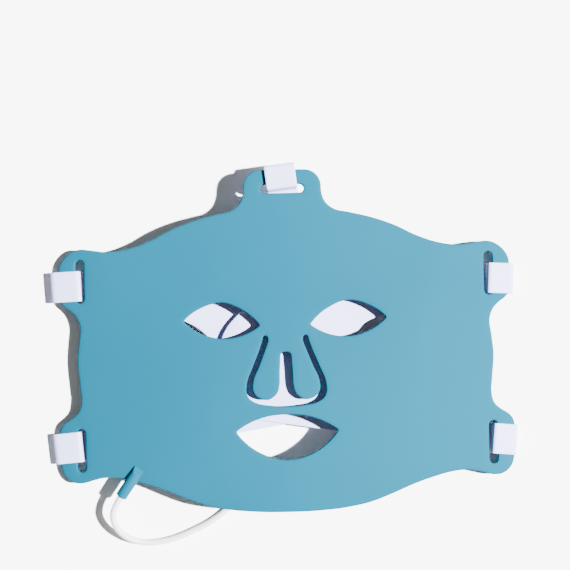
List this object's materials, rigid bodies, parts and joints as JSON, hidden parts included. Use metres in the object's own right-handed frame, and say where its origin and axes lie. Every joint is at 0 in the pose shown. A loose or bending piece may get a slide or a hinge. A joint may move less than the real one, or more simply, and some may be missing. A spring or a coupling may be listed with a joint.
{
  "type": "light therapy face mask",
  "caption": "Flexible silicone face mask with light sources inside, eye, nose and mouth openings, elastic head straps and a trailing power lead.",
  "frame": {"origin": "centre of the mask's box on the plane it lies on, cord left out", "axes": "+Z out of the mask's front face, +Y towards the forehead, +X to the right when looking at the front"},
  "size_m": [0.286, 0.2319, 0.0255],
  "materials": {
    "silicone": "satin",
    "clear_silicone": "satin",
    "circuit_film": "satin",
    "lamp": "gloss",
    "infrared_lamp": "gloss",
    "resistor": "matte",
    "wire": "satin",
    "solder": "satin",
    "cable_jacket": "satin",
    "tie": "matte",
    "plug_plastic": "satin",
    "plug_metal": "satin",
    "contact": "satin",
    "webbing": "matte",
    "band": "matte"
  },
  "bodies": {
    "mask": {"front_cover": "silicone", "flex_circuit": "circuit_film", "face_liner": "clear_silicone", "red_lamps": "lamp", "infrared_lamps": "infrared_lamp", "resistors": "resistor", "lead_wires": "wire", "solder_tabs": "solder", "cable_sleeve": "silicone", "power_cable": "cable_jacket", "cable_coil": "cable_jacket", "cable_tie": "tie", "plug_boot": "plug_plastic", "plug_body": "plug_plastic", "plug_shell": "plug_metal", "plug_contacts": "contact", "lower_left_strap": "webbing", "lower_right_strap": "webbing", "upper_left_strap": "webbing", "upper_right_strap": "webbing", "top_strap": "webbing", "left_head_band": "band", "right_head_band": "band"},
    "nose": {"nose_flap": "silicone"},
    "upper_left_webbing": {"upper_left_loop": "webbing"},
    "upper_right_webbing": {"upper_right_loop": "webbing"},
    "lower_left_webbing": {"lower_left_loop": "webbing"},
    "lower_right_webbing": {"lower_right_loop": "webbing"},
    "top_webbing": {"top_loop": "webbing"}
  },
  "joints": [
    {"name": "nose_lift", "type": "hinge", "parent": "mask", "child": "nose", "pos_m": [0, 0, 0.0235], "axis": [-1, 0, 0], "range_deg": [-3, 45], "stiffness_Nm_per_rad": 0.03, "springref_deg": 1.72},
    {"name": "upper_left_slide", "type": "slide", "parent": "mask", "child": "upper_left_webbing", "axis": [0, 1, 0], "range_m": [0, 0.0058]},
    {"name": "upper_right_slide", "type": "slide", "parent": "mask", "child": "upper_right_webbing", "axis": [0, 1, 0], "range_m": [0, 0.0058]},
    {"name": "lower_left_slide", "type": "slide", "parent": "mask", "child": "lower_left_webbing", "axis": [0, 1, 0], "range_m": [-0.0028, 0]},
    {"name": "lower_right_slide", "type": "slide", "parent": "mask", "child": "lower_right_webbing", "axis": [0, 1, 0], "range_m": [-0.0028, 0]},
    {"name": "top_slide", "type": "slide", "parent": "mask", "child": "top_webbing", "axis": [1, 0, 0], "range_m": [-0.0025, 0.0025]}
  ]
}
